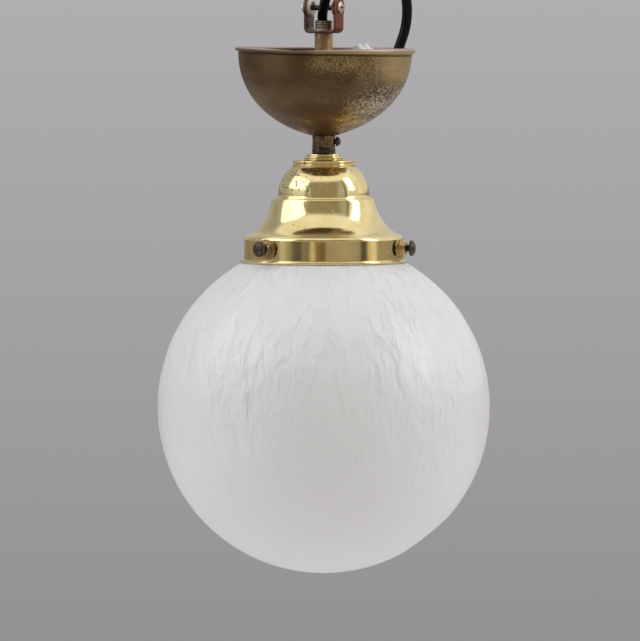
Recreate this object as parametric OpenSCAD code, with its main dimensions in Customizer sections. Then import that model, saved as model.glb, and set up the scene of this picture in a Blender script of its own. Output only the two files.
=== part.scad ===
// Hanging globe lamp: a stirrup and stem carry a spun gallery, which holds a blown glass
// globe by three thumbscrews. A sliding cup covers the flex and its terminal block.
// Millimetres, +Z up, origin at the middle of the cross bolt, front of the lamp towards -Y.

/* [Stirrup] */
// Width of the strap
strap_w = 10.6; // [8:0.1:12]
// Thickness of the strap
strap_t = 1.6; // [1.5:0.1:2.5]
// Distance between the outer faces of the two ears
stirrup_w = 19.6; // [19:0.1:24]
// Diameter of the round eye at the top of each ear
eye_d = 13; // [12.5:0.1:18]
// Height from the underside of the strap to the cross bolt
stirrup_h = 14.1; // [13.6:0.1:20]
// Outer radius of the two bent corners
strap_bend_r = 3.2; // [2.6:0.1:4]
// Angle that the stirrup is turned to about the stem
stirrup_turn = -25; // [-35:1:-15]
// Diameter of the cross bolt
bolt_d = 3; // [2.5:0.1:3]
// Diameter of the cross bolt's head
bolt_head_d = 6.8; // [5.5:0.1:7.5]
// Outer diameter of the two insulating bushes on the cross bolt
bush_d = 10; // [8:0.1:11]
// Thickness of the bushes' flanges
bush_flange_t = 1.8; // [1:0.1:2]

/* [Stem] */
// Outer diameter of the stem tube
stem_d = 10; // [9.8:0.1:11]
// Bore of the stem tube
stem_bore_d = 8.4; // [8.3:0.1:8.6]
// Length of stem above the underside of the stirrup
stem_stand = 7.1; // [5:0.1:7.5]
// Length of stem between the stirrup and the gallery
stem_free = 70.5; // [68:0.5:120]
// Length of stem below the top of the gallery
stem_tail = 13.9; // [12:0.1:16]
// Pitch of the thread at the top of the stem
thread_pitch = 1; // [0.75:0.25:1.25]

/* [Cup] */
// Diameter of the cup over its lip
cup_d = 100; // [98:1:104]
// Height of the cup
cup_h = 48.2; // [46:0.2:49]
// Width that the lip stands out from the bowl
lip_w = 1.8; // [1:0.1:3]
// Height of the rolled lip
lip_h = 2.2; // [1.5:0.1:3]
// Thickness of the cup's sheet
cup_t = 1; // [0.6:0.1:1.2]
// Outer diameter of the slip collar that carries the cup
collar_d = 13; // [12.5:0.1:16]
// Height of the slip collar
collar_h = 6.5; // [6:0.1:10]

/* [Gallery] */
// Height of the locknut on top of the gallery
locknut_h = 3.4; // [3:0.1:5]
// Diameter of the locknut
locknut_d = 13; // [12.5:0.1:16]
// Diameter of the dished cap under the locknut
gallery_cap_d = 21.4; // [20:0.2:26]
// Height of the dished cap
gallery_cap_h = 3.7; // [3:0.1:5]
// Thickness of the gallery's sheet
gallery_t = 0.9; // [0.7:0.1:1.1]
// Diameter of the gallery's top ring
top_ring_d = 34.6; // [32:0.2:38]
// Largest diameter of the gallery's dome
dome_d = 50.8; // [49:0.2:54]
// Outer diameter of the band that takes the globe's neck
band_d = 88.8; // [88:0.1:92]
// Height of the band
band_h = 12; // [11.4:0.1:14]
// Height from the top of the gallery to the top of the band
gallery_h = 43; // [41:0.5:48]
// Radius of the bead along the band's lower edge
bead_r = 0.75; // [0.6:0.05:0.8]

/* [Globe] */
// Outer diameter of the globe
globe_d = 184.6; // [183:0.2:187]
// Thickness of the glass
glass_t = 3; // [2.2:0.1:4]
// Distance between the band and the globe's neck
neck_gap = 3.9; // [3.5:0.1:5]
// Distance between the band and the globe's lip
lip_gap = 1.5; // [1:0.1:2.5]

/* [Thumbscrews] */
// Diameter of the screws' shanks
screw_d = 4; // [3:0.1:4.4]
// Diameter of the domed heads
head_d = 8.8; // [7.5:0.1:11]
// Outer diameter of the bosses that the screws turn in
boss_d = 7; // [6.4:0.1:8]
// Distance that the bosses stand out from the band
boss_out = 3; // [2.4:0.1:5]
// Length of the left screw
left_screw_l = 12.6; // [12:0.1:18]
// Length of the right screw
right_screw_l = 12.6; // [12:0.1:18]
// Length of the rear screw
rear_screw_l = 12.6; // [12:0.1:18]

/* [Lampholder] */
// Outer diameter of the lampholder's sleeve
holder_d = 40; // [39:0.5:44]
// Height of the lampholder's sleeve
sleeve_h = 38; // [36:0.5:42]
// Bore of the screw shell that takes the bulb
socket_bore_d = 26.6; // [26.5:0.1:27]
// Length of the screw shell
socket_l = 24; // [22:0.5:26]

/* [Flex] */
// Diameter of the flex
flex_d = 5.6; // [5:0.1:5.6]
// Diameter of one insulated core
core_d = 2.2; // [1.8:0.1:2.4]

/* [Hidden] */

$fn = 64;
fit = 0.05;   // radial clearance of a screw or sliding fit
rest = 0.1;   // gap between pieces that rest on one another across a joint
tiny = 0.01;  // overrun of a cut past the face that it opens

// Heights, from the stirrup down
base_z = -stirrup_h;
stem_top_z = base_z + stem_stand;
gallery_z = base_z - stem_free;
stem_end_z = gallery_z - stem_tail;
cap_top_z = gallery_z + gallery_cap_h;
nut_top_z = cap_top_z + locknut_h;
collar_top_z = nut_top_z + rest + collar_h;
cup_z = collar_top_z + rest;
cup_top_z = cup_z + cup_h;
band_top_z = gallery_z - gallery_h;
band_end_z = band_top_z - band_h;

// Radii that other pieces seat on
stem_r = stem_d / 2;
slide_r = stem_r + fit;
band_r = band_d / 2;
band_in_r = band_r - gallery_t;
neck_r = band_in_r - neck_gap;
lip_r = band_in_r - lip_gap;
globe_r = globe_d / 2;
bead_out = 1.25;
bead_drop = 0.9;
globe_z = globe_seat_z(band_r + bead_out, band_end_z - bead_drop);

// Thumbscrews: direction from the front of the lamp, counted towards the right
left_turn = -45;
right_turn = 75;
rear_turn = 195;
screw_z = band_top_z - 5.4;
tip_r = neck_r + rest;
head_t = 2.6;

// Colours
brass = [0.78, 0.66, 0.38];
aged_brass = [0.5, 0.42, 0.25];
dark_metal = [0.24, 0.2, 0.19];
black = [0.06, 0.06, 0.07];

// Centre height of the globe that rests on a bead of radius bead_r at (r, z)
function globe_seat_z(r, z) = z - sqrt(pow(globe_r + bead_r + fit, 2) - r * r);

// Points of a cubic curve from a to d, drawn towards b and c on its way
function curve(a, b, c, d, n = 7) =
    [for (i = [0 : n])
        let (t = i / n, s = 1 - t)
        s * s * s * a + 3 * s * s * t * b + 3 * s * t * t * c + t * t * t * d];

// Unit normal of an open outline at point i, to the left of its direction
function outline_normal(p, i) =
    let (a = p[max(i - 1, 0)], b = p[min(i + 1, len(p) - 1)], d = (b - a) / norm(b - a))
    [-d[1], d[0]];

// The outline moved sideways by t
function moved(p, t) = [for (i = [0 : len(p) - 1]) p[i] + t * outline_normal(p, i)];

// The outline from its last point to its first
function reversed(p) = [for (i = [len(p) - 1 : -1 : 0]) p[i]];

// Flex route: from inside the stem, out in front of the cross bolt, up, over and into the cup
loop_route = [[-0.1, 1.3, -20], [-0.1, 1.3, -16], [-0.3, 1.1, -13], [-0.5, 0.3, -9.7],
    [-0.7, -0.8, -7], [-0.7, -2.3, -4.7], [-0.5, -4.2, -2.6], [-0.2, -6.3, -0.6], [0.3, -8.5, 1.6],
    [1, -10.7, 4.7], [2.2, -12.3, 8.4], [4.2, -13.2, 12.8], [7.4, -13.3, 17.8],
    [11.6, -12.6, 22.4], [17, -11.2, 25.8], [23.2, -9.2, 27.6], [29.4, -7, 27.2],
    [35.2, -4.8, 24.2], [40, -2.8, 19.4], [43.4, -1.4, 13.4], [45.4, -0.6, 7],
    [46.2, 0, 0.4], [46, 0.2, -6.2], [44.9, 0, -12.6], [42.9, -0.6, -18.8],
    [40.7, -2.2, -24.8], [38.7, -5, -30.6]];

// Flex coil: on from there, down to the floor of the cup, once round the stem and up again
coil_route = [[38.7, -5, -30.6], [36.8, -9.2, -36.2], [34, -14.4, -41.4], [29.6, -19.8, -45.6],
    [23.4, -24.6, -49], [15.4, -28.2, -51.3], [6.2, -30.2, -52.6], [-3.4, -30.4, -52.9],
    [-12.8, -28.2, -52.6], [-21, -23.4, -52.2], [-27, -16.4, -52], [-30.6, -8, -52],
    [-31.6, 1.2, -52], [-29.6, 10.4, -52.2], [-24.8, 18.8, -52.4], [-17.6, 25.4, -52],
    [-9, 29, -50.3], [-1, 29.8, -47.2], [6, 28.4, -42.8], [11.8, 25.2, -37.8]];

// The terminal block stands on the end of the flex, along its last stretch
block_end = coil_route[len(coil_route) - 1];
block_dir = unit(block_end - coil_route[len(coil_route) - 2]);
core_gap = 7;
pole_pitch = 8;
block_l = 14;
pole_r = 3.4;
tube_r = 2;

// Vector of length one along v
function unit(v) = v / norm(v);

// Tube along a route: rings of n sides square to the route, closed at both ends.
// Where the route is one stretch of a longer one, before and after are its neighbours.
module tube(route, d, n = 10, before = undef, after = undef) {
    last = len(route) - 1;
    start = is_undef(before) ? route[0] : before;
    end = is_undef(after) ? route[last] : after;
    tangents = [for (i = [0 : last])
        unit((i < last ? route[i + 1] : end) - (i > 0 ? route[i - 1] : start))];
    square_to = function (t, s) unit(s - (s * t) * t);
    sides = [for (i = 0, s = square_to(tangents[0], [1, 0.2, 0.1]); i <= last;
        i = i + 1, s = square_to(tangents[min(i, last)], s)) s];
    rings = [for (i = [0 : last], k = [0 : n - 1])
        let (a = 360 * k / n)
        route[i] + d / 2 * (cos(a) * sides[i] + sin(a) * cross(tangents[i], sides[i]))];
    walls = [for (i = [0 : last - 1], k = [0 : n - 1])
        let (a = i * n + k, b = i * n + (k + 1) % n)
        each [[a, a + n, b + n], [a, b + n, b]]];
    ends = [[for (k = [0 : n - 1]) k], [for (k = [n - 1 : -1 : 0]) last * n + k]];
    polyhedron(rings, concat(walls, ends), convexity = 10);
}

// Places its children with their own +Z along direction d, at point p
module along(p, d) {
    translate(p)
        rotate([0, acos(d[2] / norm(d)), atan2(d[1], d[0])])
            children();
}

// Places its children on a radius at height z, with their +Z pointing outwards
module on_radius(turn, z) {
    rotate([0, 0, turn - 90])
        translate([0, 0, z])
            rotate([0, 90, 0])
                children();
}

// Washer or ring with the given radii, from height z up
module ring(r_out, r_in, z, h) {
    translate([0, 0, z])
        difference() {
            cylinder(r = r_out, h = h);
            translate([0, 0, -tiny])
                cylinder(r = r_in, h = h + 2 * tiny);
        }
}

// Stirrup: bent strap with a round eye on each ear
module stirrup() {
    hw = stirrup_w / 2;
    color([0.42, 0.25, 0.22])
    rotate([0, 0, stirrup_turn])
    difference() {
        union() {
            intersection() {
                rotate([90, 0, 0])
                    linear_extrude(height = eye_d + 2, center = true)
                        difference() {
                            strap_outline(hw, base_z, strap_bend_r);
                            strap_outline(hw - strap_t, base_z + strap_t,
                                strap_bend_r - strap_t);
                        }
                rotate([90, 0, 90])
                    linear_extrude(height = stirrup_w + 2, center = true)
                        union() {
                            circle(d = eye_d);
                            translate([-strap_w / 2, base_z - 1])
                                square([strap_w, stirrup_h + 1]);
                        }
            }
            translate([0, 0, base_z])
                cylinder(r = hw - strap_bend_r, h = strap_t);
        }
        translate([0, 0, base_z - 1])
            cylinder(r = slide_r, h = strap_t + 2);
        rotate([0, 90, 0])
            cylinder(r = bush_stem_r() + fit, h = stirrup_w + 2, center = true);
    }
}

// Half outline of the strap with its lower corners rounded, open at the top
module strap_outline(hw, z, r) {
    h = eye_d / 2 + 1 - z;
    translate([-hw, z + r])
        square([2 * hw, h - r]);
    translate([-hw + r, z])
        square([2 * (hw - r), h]);
    for (side = [-1, 1])
        translate([side * (hw - r), z + r])
            circle(r = r);
}

// Radius of the part of a bush that lies in the ear
function bush_stem_r() = bolt_d / 2 + 0.9;

// Cross bolt: round head with a crossed recess, shank through both ears
module cross_bolt() {
    head_t = 1.5;
    slot_w = 1.1;
    nut_room = 3.4;
    hw = stirrup_w / 2;
    color([0.72, 0.7, 0.66])
    rotate([0, 0, stirrup_turn])
    rotate([0, 90, 0])
    difference() {
        union() {
            translate([0, 0, -hw - nut_room])
                cylinder(d = bolt_d, h = stirrup_w + nut_room + 0.1);
            translate([0, 0, hw])
                rotate_extrude()
                    polygon([[0, 0], [bolt_head_d / 2, 0], [bolt_head_d / 2, head_t * 0.45],
                        [bolt_head_d * 0.4, head_t * 0.85], [bolt_head_d * 0.22, head_t],
                        [0, head_t]]);
        }
        for (turn = [0, 90])
            rotate([0, 0, turn])
                translate([-bolt_head_d * 0.3, -slot_w / 2, hw + head_t * 0.35])
                    cube([bolt_head_d * 0.6, slot_w, head_t]);
    }
}

// Nut on the far end of the cross bolt
module cross_bolt_nut() {
    nut_t = 2.4;
    across = 5.5;
    color([0.6, 0.58, 0.55])
    rotate([0, 0, stirrup_turn])
    rotate([0, 90, 0])
    translate([0, 0, -stirrup_w / 2 - nut_t])
    difference() {
        cylinder(d = across / cos(30), h = nut_t, $fn = 6);
        translate([0, 0, -tiny])
            cylinder(r = bolt_d / 2 + fit / 2, h = nut_t + 2 * tiny);
    }
}

// Two flanged bushes that line the ears, flanges inside
module ear_bushes() {
    in_x = stirrup_w / 2 - strap_t;
    color([0.86, 0.82, 0.74])
    rotate([0, 0, stirrup_turn])
    for (side = [-1, 1])
        rotate([0, side * 90, 0])
            rotate_extrude()
                polygon([[bolt_d / 2 + fit / 2, in_x - bush_flange_t * 0.6],
                    [bolt_d / 2 + 0.7, in_x - bush_flange_t], [bush_d / 2 - 0.3, in_x - bush_flange_t],
                    [bush_d / 2, in_x - bush_flange_t + 0.3], [bush_d / 2, in_x],
                    [bush_stem_r(), in_x], [bush_stem_r(), in_x + strap_t],
                    [bolt_d / 2 + fit / 2, in_x + strap_t]]);
}

// Stem: tube with a thread cut on its upper end
module stem() {
    turns = floor((stem_stand - strap_t) / thread_pitch);
    groove = 0.35;
    color(aged_brass)
    rotate_extrude()
        polygon(concat(
            [[stem_bore_d / 2, stem_end_z], [stem_r, stem_end_z]],
            [for (i = [turns - 1 : -1 : 0])
                let (z = stem_top_z - 0.5 - i * thread_pitch)
                each [[stem_r, z - thread_pitch / 2 - groove], [stem_r - groove, z - thread_pitch / 2],
                    [stem_r, z - thread_pitch / 2 + groove]]],
            [[stem_r, stem_top_z - 0.4], [stem_r - 0.3, stem_top_z],
             [stem_bore_d / 2, stem_top_z]]));
}

// Steel locknut that clamps the gallery from above
module locknut() {
    edge = 0.5;
    r = locknut_d / 2;
    color(dark_metal)
    rotate_extrude()
        polygon([[stem_r, cap_top_z], [r - edge, cap_top_z], [r, cap_top_z + edge],
            [r, nut_top_z - edge], [r - edge, nut_top_z], [stem_r, nut_top_z]]);
}

// Stepped cap between the locknut and the gallery
module gallery_cap() {
    r = gallery_cap_d / 2;
    step_r = r - 1.3;
    mid = gallery_z + gallery_cap_h * 0.5;
    color(brass)
    rotate_extrude()
        polygon([[slide_r, gallery_z], [r - 0.4, gallery_z], [r, gallery_z + 0.5],
            [r - 0.1, mid - 0.3], [step_r, mid], [step_r, cap_top_z - 0.5],
            [step_r - 0.5, cap_top_z], [slide_r, cap_top_z]]);
}

// Outer outline of the gallery, from the stem hole to the bead, as [radius, height]
gallery_outline = let (
        top_r = top_ring_d / 2, dome_r = dome_d / 2, z = gallery_z,
        foot = band_top_z + 0.9, ledge_r = dome_r + 3.2)
    concat(
        [[top_r - 0.7, z], [top_r - 0.1, z - 0.5], [top_r - 0.1, z - 1.2], [top_r - 0.7, z - 1.6],
         [top_r - 0.1, z - 2.1], [top_r - 0.1, z - 2.9]],
        curve([top_r, z - 3.4], [top_r + 4.8, z - 6.9], [dome_r - 0.2, z - 12],
            [dome_r, z - 20.2], 8),
        [[ledge_r - 0.7, z - 21]],
        curve([ledge_r, z - 21.8], [ledge_r + 1.8, z - 30.6], [band_r - 7.6, foot + 4.6],
            [band_r - 1, foot + 0.3], 9),
        [[band_r - 0.4, foot - 0.4], [band_r, foot - 1.5], [band_r, band_end_z]]);

// Gallery: one spun shell with a rolled bead on its lower edge
module gallery() {
    top_r = top_ring_d / 2;
    inner = moved(gallery_outline, -gallery_t);
    color(brass)
    difference() {
        union() {
            rotate_extrude()
                polygon(concat([[slide_r, gallery_z]], gallery_outline,
                    [[band_r + bead_out, band_end_z - bead_drop + 0.4],
                     [band_r + bead_out - 0.4, band_end_z - bead_drop - 0.3],
                     [band_in_r, band_end_z - 0.5]],
                    reversed([for (p = inner) if (p[0] > top_r - 1.5) [min(p[0], band_in_r), p[1]]]),
                    [[top_r - 1.8, gallery_z - gallery_t], [slide_r, gallery_z - gallery_t]]));
            translate([0, 0, band_end_z - bead_drop])
                rotate_extrude()
                    translate([band_r + bead_out, 0])
                        circle(r = bead_r, $fn = 24);
        }
        for (turn = [left_turn, right_turn, rear_turn])
            on_radius(turn, screw_z)
                cylinder(d = screw_d + 4 * fit, h = band_r + 5);
    }
}

// Washer under the gallery's top
module gallery_washer() {
    color(aged_brass)
        ring(stem_r + 4, slide_r, gallery_z - gallery_t - 1, 1);
}

// Hexagon nut that clamps the gallery from below
module gallery_nut() {
    nut_t = 3;
    across = 14;
    color(aged_brass)
    translate([0, 0, gallery_z - gallery_t - 1 - nut_t])
    difference() {
        cylinder(d = across / cos(30), h = nut_t, $fn = 6);
        translate([0, 0, -tiny])
            cylinder(r = stem_r, h = nut_t + 2 * tiny);
    }
}

// Three bosses riveted to the band, each with a bore for its thumbscrew
module screw_bosses() {
    flange_out = 1.3;
    bore_r = screw_d / 2 + fit;
    color(aged_brass)
    for (turn = [left_turn, right_turn, rear_turn])
        difference() {
            on_radius(turn, screw_z)
                difference() {
                    union() {
                        cylinder(d = boss_d + 2.6, h = band_r + flange_out);
                        cylinder(d = boss_d, h = band_r + boss_out);
                    }
                    cylinder(r = bore_r, h = band_r + boss_out + 1);
                }
            translate([0, 0, screw_z - boss_d])
                cylinder(r = band_r, h = 2 * boss_d, $fn = 128);
        }
}

// Glass globe with a neck and a thickened lip
module globe() {
    in_r = neck_r - glass_t;
    neck_z = globe_z + sqrt(globe_r * globe_r - neck_r * neck_r) - 1;
    lip_z = screw_z + screw_d / 2 + 0.5;
    lip_h = 2.6;
    color([0.86, 0.86, 0.87])
    difference() {
        union() {
            translate([0, 0, globe_z])
                sphere(r = globe_r, $fn = 96);
            translate([0, 0, neck_z])
                cylinder(r = neck_r, h = lip_z - neck_z + 0.1);
            translate([0, 0, lip_z])
                cylinder(r1 = neck_r, r2 = lip_r, h = 0.7);
            translate([0, 0, lip_z + 0.7])
                cylinder(r = lip_r, h = lip_h - 0.7);
        }
        translate([0, 0, globe_z])
            sphere(r = globe_r - glass_t, $fn = 96);
        translate([0, 0, globe_z + globe_r * 0.6])
            cylinder(r = in_r, h = globe_r);
    }
}

// Thumbscrew along +Z: flat tip at height 0, domed head at the end of length l
module thumbscrew(turn, l) {
    r = head_d / 2;
    color(dark_metal)
    on_radius(turn, screw_z)
    translate([0, 0, tip_r])
    rotate_extrude()
        polygon(concat(
            [[0, 0], [screw_d / 2 - 0.3, 0], [screw_d / 2, 0.3], [screw_d / 2, l - head_t],
             [r - 1, l - head_t], [r, l - head_t + 0.8]],
            [for (a = [15 : 15 : 75]) [r * cos(a), l - head_t + 0.8 + (head_t - 0.8) * sin(a)]],
            [[0, l]]));
}

module thumbscrew_left() thumbscrew(left_turn, left_screw_l);
module thumbscrew_right() thumbscrew(right_turn, right_screw_l);
module thumbscrew_rear() thumbscrew(rear_turn, rear_screw_l);

// Collar that slides on the stem and carries the cup
module slip_collar() {
    r = collar_d / 2;
    z = nut_top_z + rest;
    color(aged_brass)
    difference() {
        rotate_extrude()
            polygon([[slide_r, z], [r - 0.3, z], [r, z + 0.3], [r, collar_top_z - 0.3],
                [r - 0.3, collar_top_z], [slide_r, collar_top_z]]);
        translate([0, 0, collar_screw_z])
            rotate([0, 90, 0])
                cylinder(r = collar_screw_r + fit, h = r + 1);
    }
}

collar_screw_r = 1.5;
collar_screw_z = nut_top_z + rest + collar_h / 2;

// Screw with a small domed head that clamps the collar to the stem
module collar_screw() {
    head_r = 2.5;
    head_l = 2.3;
    seat = collar_d / 2 + 0.7;
    color(dark_metal)
    translate([0, 0, collar_screw_z])
    rotate([0, 90, 0])
    rotate_extrude()
        polygon(concat(
            [[0, stem_r + rest], [collar_screw_r, stem_r + rest], [collar_screw_r, seat],
             [head_r, seat]],
            [for (a = [0 : 15 : 75]) [head_r * cos(a), seat + 0.6 + (head_l - 0.6) * sin(a)]],
            [[0, seat + head_l]]));
}

// Outer outline of the cup's bowl, from its floor to under the lip
bowl_outline = let (r = cup_d / 2 - lip_w, foot_r = 7)
    curve([foot_r, cup_z], [foot_r + 25.5, cup_z + 8.8], [r, cup_top_z - lip_h - 20.7],
        [r, cup_top_z - lip_h], 12);

// Cup that covers the wiring, with a rolled lip, open at the top
module canopy_cup() {
    r = cup_d / 2 - lip_w;
    inner = moved(bowl_outline, cup_t);
    edge = 0.5;
    color([0.55, 0.44, 0.27])
    rotate_extrude()
        polygon(concat([[slide_r + fit, cup_z]], bowl_outline,
            [[r + lip_w - edge, cup_top_z - lip_h], [r + lip_w, cup_top_z - lip_h + edge],
             [r + lip_w, cup_top_z - edge], [r + lip_w - edge, cup_top_z],
             [r - cup_t, cup_top_z]],
            reversed([for (p = inner) if (p[0] > 8) p]),
            [[slide_r + fit, cup_z + cup_t]]));
}

// Sheathed flex held in the stem
module stem_flex() {
    color(black)
    translate([loop_route[0][0], loop_route[0][1], stem_end_z + 1])
        cylinder(d = flex_d, h = loop_route[0][2] - stem_end_z - 1);
}

// Flex from the stem, over and down into the cup
module flex_loop() {
    color(black) tube(loop_route, flex_d, after = coil_route[1]);
}

// Turn of flex that lies in the cup
module flex_coil() {
    color(black) tube(coil_route, flex_d, before = loop_route[len(loop_route) - 2]);
}

// The two cores between the flex's cut end and the terminal block
module flex_end_cores() {
    across = pole_across();
    for (side = [-1, 1])
        color(side > 0 ? [0.45, 0.25, 0.15] : [0.2, 0.35, 0.6])
            tube([block_end + side * 1.3 * across,
                block_end + side * 1.3 * across + 1.5 * block_dir,
                block_end + side * pole_pitch / 2 * across + (core_gap - 1.5) * block_dir,
                block_end + side * pole_pitch / 2 * across + (core_gap + 4) * block_dir], core_d, 8);
}

// Level direction from one pole of the block to the other
function pole_across() = unit(cross([0, 0, 1], block_dir));

// Places its children at each pole, with +Z along the wires and +X away from the screws
module at_poles() {
    for (side = [-1, 1])
        along(block_end + core_gap * block_dir + side * pole_pitch / 2 * pole_across(), block_dir)
            children();
}

screw_side = -1;
clamp_at = [3.4, 10.6];

// White two-pole terminal block: a barrel and two screw towers for each pole
module terminal_block() {
    tower_h = 7.2;
    tower_r = 2.6;
    color([0.9, 0.9, 0.88])
    difference() {
        union() {
            at_poles() {
                cylinder(r = pole_r, h = block_l);
                for (z = clamp_at)
                    translate([0, 0, z])
                        rotate([0, screw_side * 90, 0])
                            cylinder(r = tower_r, h = tower_h);
            }
            along(block_end + (core_gap + 2) * block_dir, block_dir)
                translate([-1.2, -pole_pitch / 2, 0])
                    cube([2.4, pole_pitch, block_l - 4]);
        }
        at_poles() {
            translate([0, 0, -1])
                cylinder(r = tube_r + fit, h = block_l + 2);
            for (z = clamp_at)
                translate([0, 0, z])
                    rotate([0, screw_side * 90, 0])
                        cylinder(r = block_screw_r + fit, h = tower_h + 1);
        }
    }
}

block_screw_r = 1.3;

// Brass tube in each pole
module block_tubes() {
    color(brass)
    at_poles()
        translate([0, 0, 1])
            difference() {
                cylinder(r = tube_r, h = block_l - 2);
                translate([0, 0, -tiny])
                    cylinder(r = core_d / 2 + fit, h = block_l);
                for (z = clamp_at)
                    translate([0, 0, z - 1])
                        rotate([0, screw_side * 90, 0])
                            cylinder(r = block_screw_r + fit, h = tube_r + 1);
            }
}

// Clamping screws, two to a pole, slotted
module block_screws() {
    screw_l = 4.6;
    slot_w = 0.5;
    color([0.7, 0.68, 0.62])
    at_poles()
        for (z = clamp_at)
            translate([0, 0, z])
                rotate([0, screw_side * 90, 0])
                    translate([0, 0, core_d / 2 + 0.15])
                        difference() {
                            cylinder(r = block_screw_r, h = screw_l);
                            translate([-block_screw_r - 1, -slot_w / 2, screw_l - 0.7])
                                cube([2 * block_screw_r + 2, slot_w, 2]);
                        }
}

// Lampholder, from its cap on the stem down to the mouth of the sleeve
holder_r = holder_d / 2;
wall = 2;
cap_z = stem_end_z - 20;
holder_top_z = stem_end_z + 6.5;
insert_top_z = cap_z - 0.1;
insert_end_z = insert_top_z - 5;
sleeve_top_z = cap_z + 6;
sleeve_end_z = sleeve_top_z - sleeve_h;

// Cap of the lampholder, screwed on the end of the stem
module holder_cap() {
    r = holder_r - 1;
    z = stem_end_z;
    color([0.3, 0.22, 0.18])
    difference() {
        rotate_extrude()
            polygon([[stem_r, holder_top_z], [stem_r + 3, holder_top_z],
                [stem_r + 3, z], [stem_r + 4.5, z - 2], [r - 4, z - 4.5], [r - 1, z - 6.5],
                [r, z - 9.5], [r, cap_z], [r - wall, cap_z], [r - wall, z - 10],
                [r - wall - 2.6, z - 6.9], [stem_r + 2.8, z - 4], [stem_r, z - 1.5]]);
        translate([0, 0, stem_end_z + 3])
            rotate([90, 0, 0])
                cylinder(r = lock_screw_r + fit, h = stem_r + 4);
    }
}

lock_screw_r = 1.25;

// Grub screw that locks the lampholder to the stem
module holder_lock_screw() {
    color(dark_metal)
    translate([0, -stem_r - fit, stem_end_z + 3])
        rotate([90, 0, 0])
            cylinder(r = lock_screw_r, h = 3.4);
}

// Sleeve of the lampholder, screwed over the cap and round the screw shell
module holder_sleeve() {
    in_r = holder_r - 1 + fit;
    ledge_r = holder_r - 3.6;
    ledge_z = insert_top_z - 2.4;
    mouth_r = socket_bore_d / 2 + 2;
    color([0.3, 0.22, 0.18])
    rotate_extrude()
        polygon([[in_r, sleeve_top_z], [holder_r, sleeve_top_z], [holder_r, sleeve_end_z + 1.5],
            [holder_r - 1.5, sleeve_end_z], [mouth_r, sleeve_end_z],
            [mouth_r, sleeve_end_z + 1.5], [holder_r - wall, sleeve_end_z + 1.5],
            [holder_r - wall, ledge_z - 1.4], [ledge_r, ledge_z - 1.4], [ledge_r, ledge_z - fit],
            [in_r, ledge_z - fit]]);
}

// Porcelain insert that carries the contacts
module holder_insert() {
    rim_r = holder_r - 1.1;
    body_r = holder_r - 3.8;
    color([0.93, 0.92, 0.88])
    difference() {
        union() {
            translate([0, 0, insert_top_z - 2.4])
                cylinder(r = rim_r, h = 2.4);
            translate([0, 0, insert_end_z])
                cylinder(r = body_r, h = insert_top_z - insert_end_z + 4);
        }
        for (side = [-1, 1])
            translate([side * terminal_x, 0, insert_end_z - 1])
                cylinder(r = terminal_r + fit, h = 12);
    }
}

terminal_x = 9;
terminal_r = 1.5;
terminal_top_z = insert_top_z + 4;

// Screw shell that takes the bulb, with a flange under the insert
module screw_shell() {
    r = socket_bore_d / 2;
    shell_t = 0.5;
    color(brass)
    rotate_extrude()
        polygon([[r, insert_end_z - socket_l], [r + shell_t, insert_end_z - socket_l],
            [r + shell_t, insert_end_z - shell_t], [r + 2.2, insert_end_z - shell_t],
            [r + 2.2, insert_end_z], [r, insert_end_z]]);
}

// Springy strip that meets the foot of the bulb
module centre_contact() {
    t = 0.6;
    w = 5;
    z = insert_end_z;
    color(brass)
    rotate([90, 0, 0])
        linear_extrude(height = w, center = true)
            polygon([[-11, z], [-7, z], [2, z - 3.2], [4, z - 3.2], [4, z - 3.2 - t],
                [1.8, z - 3.2 - t], [-7.2, z - t], [-11, z - t]]);
}

// Strip that joins the right terminal to the screw shell
module side_contact() {
    color(brass)
    translate([7, -2.5, insert_end_z - 0.6])
        cube([socket_bore_d / 2 - 7.3, 5, 0.6]);
}

// Terminal screws on top of the insert, their shanks down to the contacts
module holder_terminals() {
    color(brass)
    for (side = [-1, 1])
        translate([side * terminal_x, 0, 0]) {
            translate([0, 0, insert_end_z])
                cylinder(r = terminal_r, h = terminal_top_z - insert_end_z + 0.5);
            translate([0, 0, terminal_top_z])
                cylinder(r = 2.7, h = 2);
        }
}

// Core from the end of the flex to one terminal screw
module holder_core(side) {
    x = loop_route[0][0];
    y = loop_route[0][1];
    z = stem_end_z;
    head_z = terminal_top_z + 2;
    tube([[x + side * 1.3, y, z + 1], [x + side * 1.3, y, z - 2],
        [side * 3.4, y, z - 5], [side * 6.6, y * 0.5, z - 7.4],
        [side * (terminal_x - 0.2), 0, z - 9.8], [side * terminal_x, 0, head_z + 1.2],
        [side * terminal_x, 0, head_z + fit]], core_d, 8);
}

module live_core() color([0.45, 0.25, 0.15]) holder_core(1);
module neutral_core() color([0.2, 0.35, 0.6]) holder_core(-1);

stirrup();
cross_bolt();
cross_bolt_nut();
ear_bushes();
stem();
locknut();
gallery_cap();
gallery();
gallery_washer();
gallery_nut();
screw_bosses();
globe();
holder_cap();
holder_lock_screw();
holder_sleeve();
holder_insert();
screw_shell();
centre_contact();
side_contact();
holder_terminals();
stem_flex();
live_core();
neutral_core();
flex_loop();
slip_collar();
flex_coil();
flex_end_cores();
terminal_block();
block_tubes();
block_screws();
canopy_cup();
collar_screw();
thumbscrew_left();
thumbscrew_right();
thumbscrew_rear();
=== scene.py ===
"""Looks of the hanging globe lamp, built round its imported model.

Metres, +Z up, the front of the lamp towards -Y, the origin on the cross bolt.
Outlines of turned pieces are in millimetres, as (radius, height) or (radius, height, fillet).
"""

import contextlib
import functools
import math

import bmesh
import bpy
from mathutils import Matrix, Vector, noise


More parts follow.
